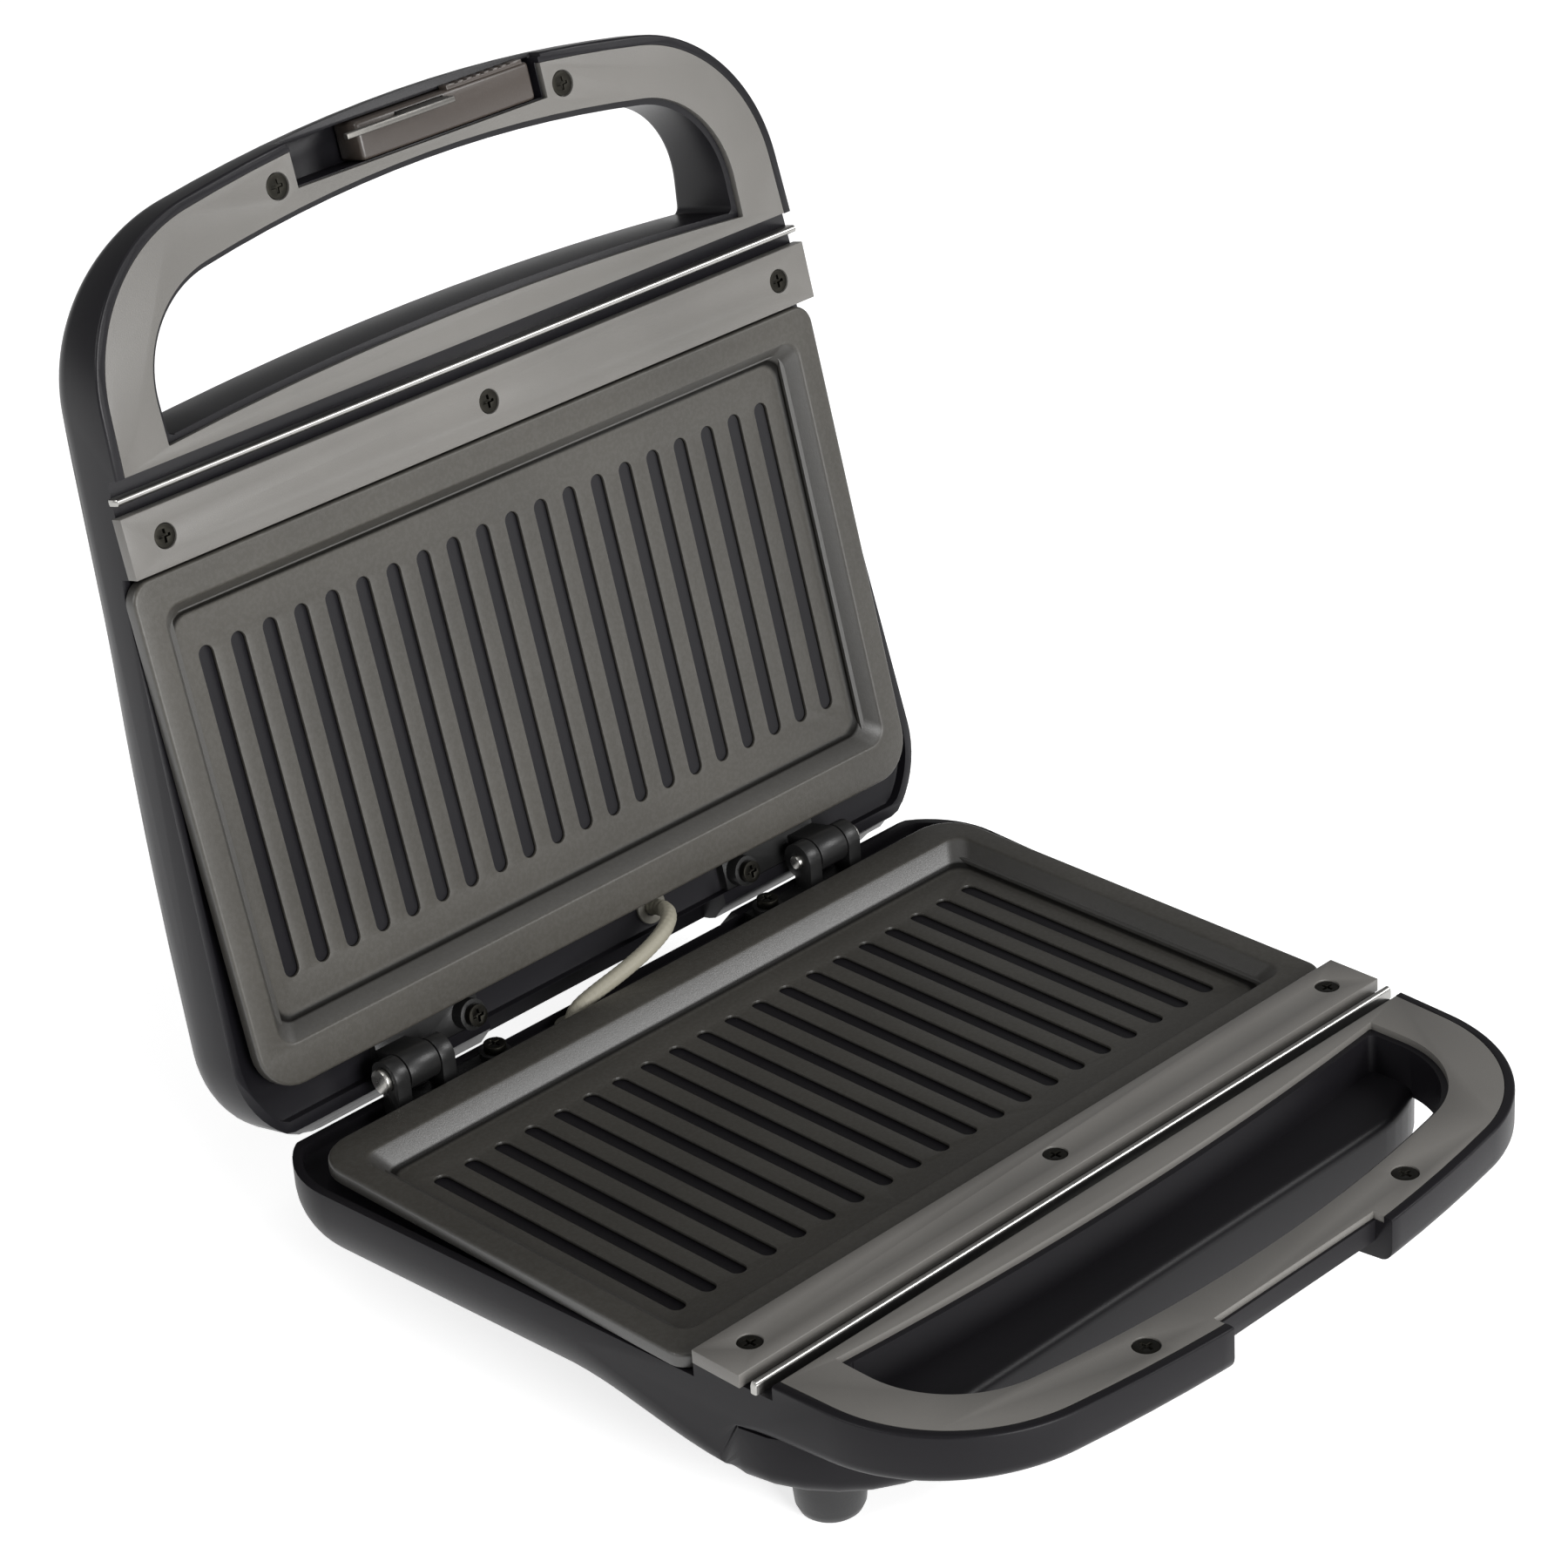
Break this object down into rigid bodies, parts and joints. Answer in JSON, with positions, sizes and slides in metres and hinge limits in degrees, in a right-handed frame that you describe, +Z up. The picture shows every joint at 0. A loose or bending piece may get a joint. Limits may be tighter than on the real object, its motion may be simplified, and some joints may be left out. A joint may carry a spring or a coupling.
{
  "type": "panini press",
  "caption": "Electric sandwich press with two ribbed plates, a hinged lid that stands open, carrying-handle loops on both halves, a sliding latch and rubber feet.",
  "frame": {"origin": "centre of the footprint of the open press, on the surface it stands on", "axes": "+Z up, -Y towards the user and the handles, +X to the user's right; the lid turns about an axis along X"},
  "size_m": [0.25, 0.3086, 0.2843],
  "materials": {
    "black_plastic": "satin",
    "graphite_plastic": "satin",
    "silver_plastic": "fine satin",
    "chrome_trim": "polished",
    "nonstick_dark": "dark non-stick coating",
    "nonstick_grey": "dark non-stick coating",
    "heater_steel": "matte",
    "bright_steel": "plain",
    "rubber": "smooth",
    "white_plastic": "plain",
    "black_steel": "satin black",
    "dark_screws": "blackened",
    "grey_plastic": "plain",
    "red_lens": "clear, glossy",
    "green_lens": "clear, glossy",
    "woven_sleeve": "braided glass fibre",
    "latch_plastic": "satin"
  },
  "bodies": {
    "base": {"base_shell": "black_plastic", "base_panel": "silver_plastic", "base_panel_screws": "dark_screws", "base_bar": "silver_plastic", "base_bar_screws": "dark_screws", "base_trim_strip": "chrome_trim", "base_plate": "nonstick_dark", "base_heater": "heater_steel", "base_reflector": "bright_steel", "base_plate_screws": "bright_steel", "front_feet": "rubber", "rear_feet": "rubber", "foot_screws": "bright_steel", "thermostat": "bright_steel", "thermal_fuse": "bright_steel", "terminal_block": "white_plastic", "cord_gland": "black_plastic", "base_hinge_left": "black_steel", "base_hinge_right": "black_steel", "base_hinge_screws": "dark_screws", "hinge_pin_left": "bright_steel", "hinge_pin_right": "bright_steel", "base_sleeve_bush": "grey_plastic", "wire_sleeve": "woven_sleeve"},
    "lid": {"lid_shell": "graphite_plastic", "lid_panel": "silver_plastic", "lid_panel_screws": "dark_screws", "lid_bar": "silver_plastic", "lid_bar_screws": "dark_screws", "lid_trim_strip": "chrome_trim", "lid_plate": "nonstick_grey", "lid_heater": "heater_steel", "lid_reflector": "bright_steel", "lid_plate_screws": "bright_steel", "lid_hinge_left": "black_steel", "lid_hinge_right": "black_steel", "lid_hinge_screws": "dark_screws", "lid_sleeve_bush": "grey_plastic", "lamp_lens_red": "red_lens", "lamp_lens_green": "green_lens", "lamp_holder": "white_plastic"},
    "latch": {"latch_slider": "latch_plastic", "latch_hook": "bright_steel"}
  },
  "joints": [
    {"name": "lid_hinge", "type": "hinge", "parent": "base", "child": "lid", "pos_m": [0, 0.08674, 0.05], "axis": [1, 0, 0], "range_deg": [0, 102.8], "deforming": ["wire_sleeve"]},
    {"name": "latch_slide", "type": "slide", "parent": "lid", "child": "latch", "axis": [-1, 0, 0], "range_m": [0, 0.021]}
  ]
}
